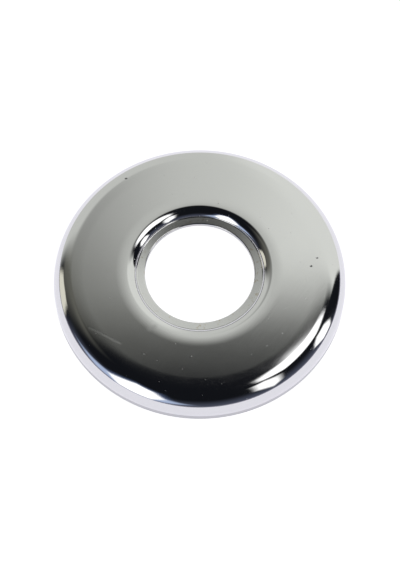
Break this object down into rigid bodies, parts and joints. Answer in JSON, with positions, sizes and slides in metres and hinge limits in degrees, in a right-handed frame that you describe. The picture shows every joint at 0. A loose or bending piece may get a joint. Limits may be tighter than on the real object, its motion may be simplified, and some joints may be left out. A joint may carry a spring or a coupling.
{
  "type": "faucet escutcheon",
  "caption": "Round pressed sheet-metal wall flange, chrome plated: flat face, deep rounded rim, and a rolled throat that steps down to a narrow seat round the pipe hole.",
  "frame": {"origin": "centre of the rim's foot, on the wall plane", "axes": "+Z leaves the wall along the pipe hole's axis, through the visible face; the part is round, so +X and +Y are free"},
  "size_m": [0.07, 0.07, 0.0075],
  "materials": {
    "chrome_plate": "bright nickel-chrome plate on pressed steel, polished face with fine scratches"
  },
  "bodies": {
    "root": {"escutcheon": "chrome_plate"}
  },
  "joints": []
}
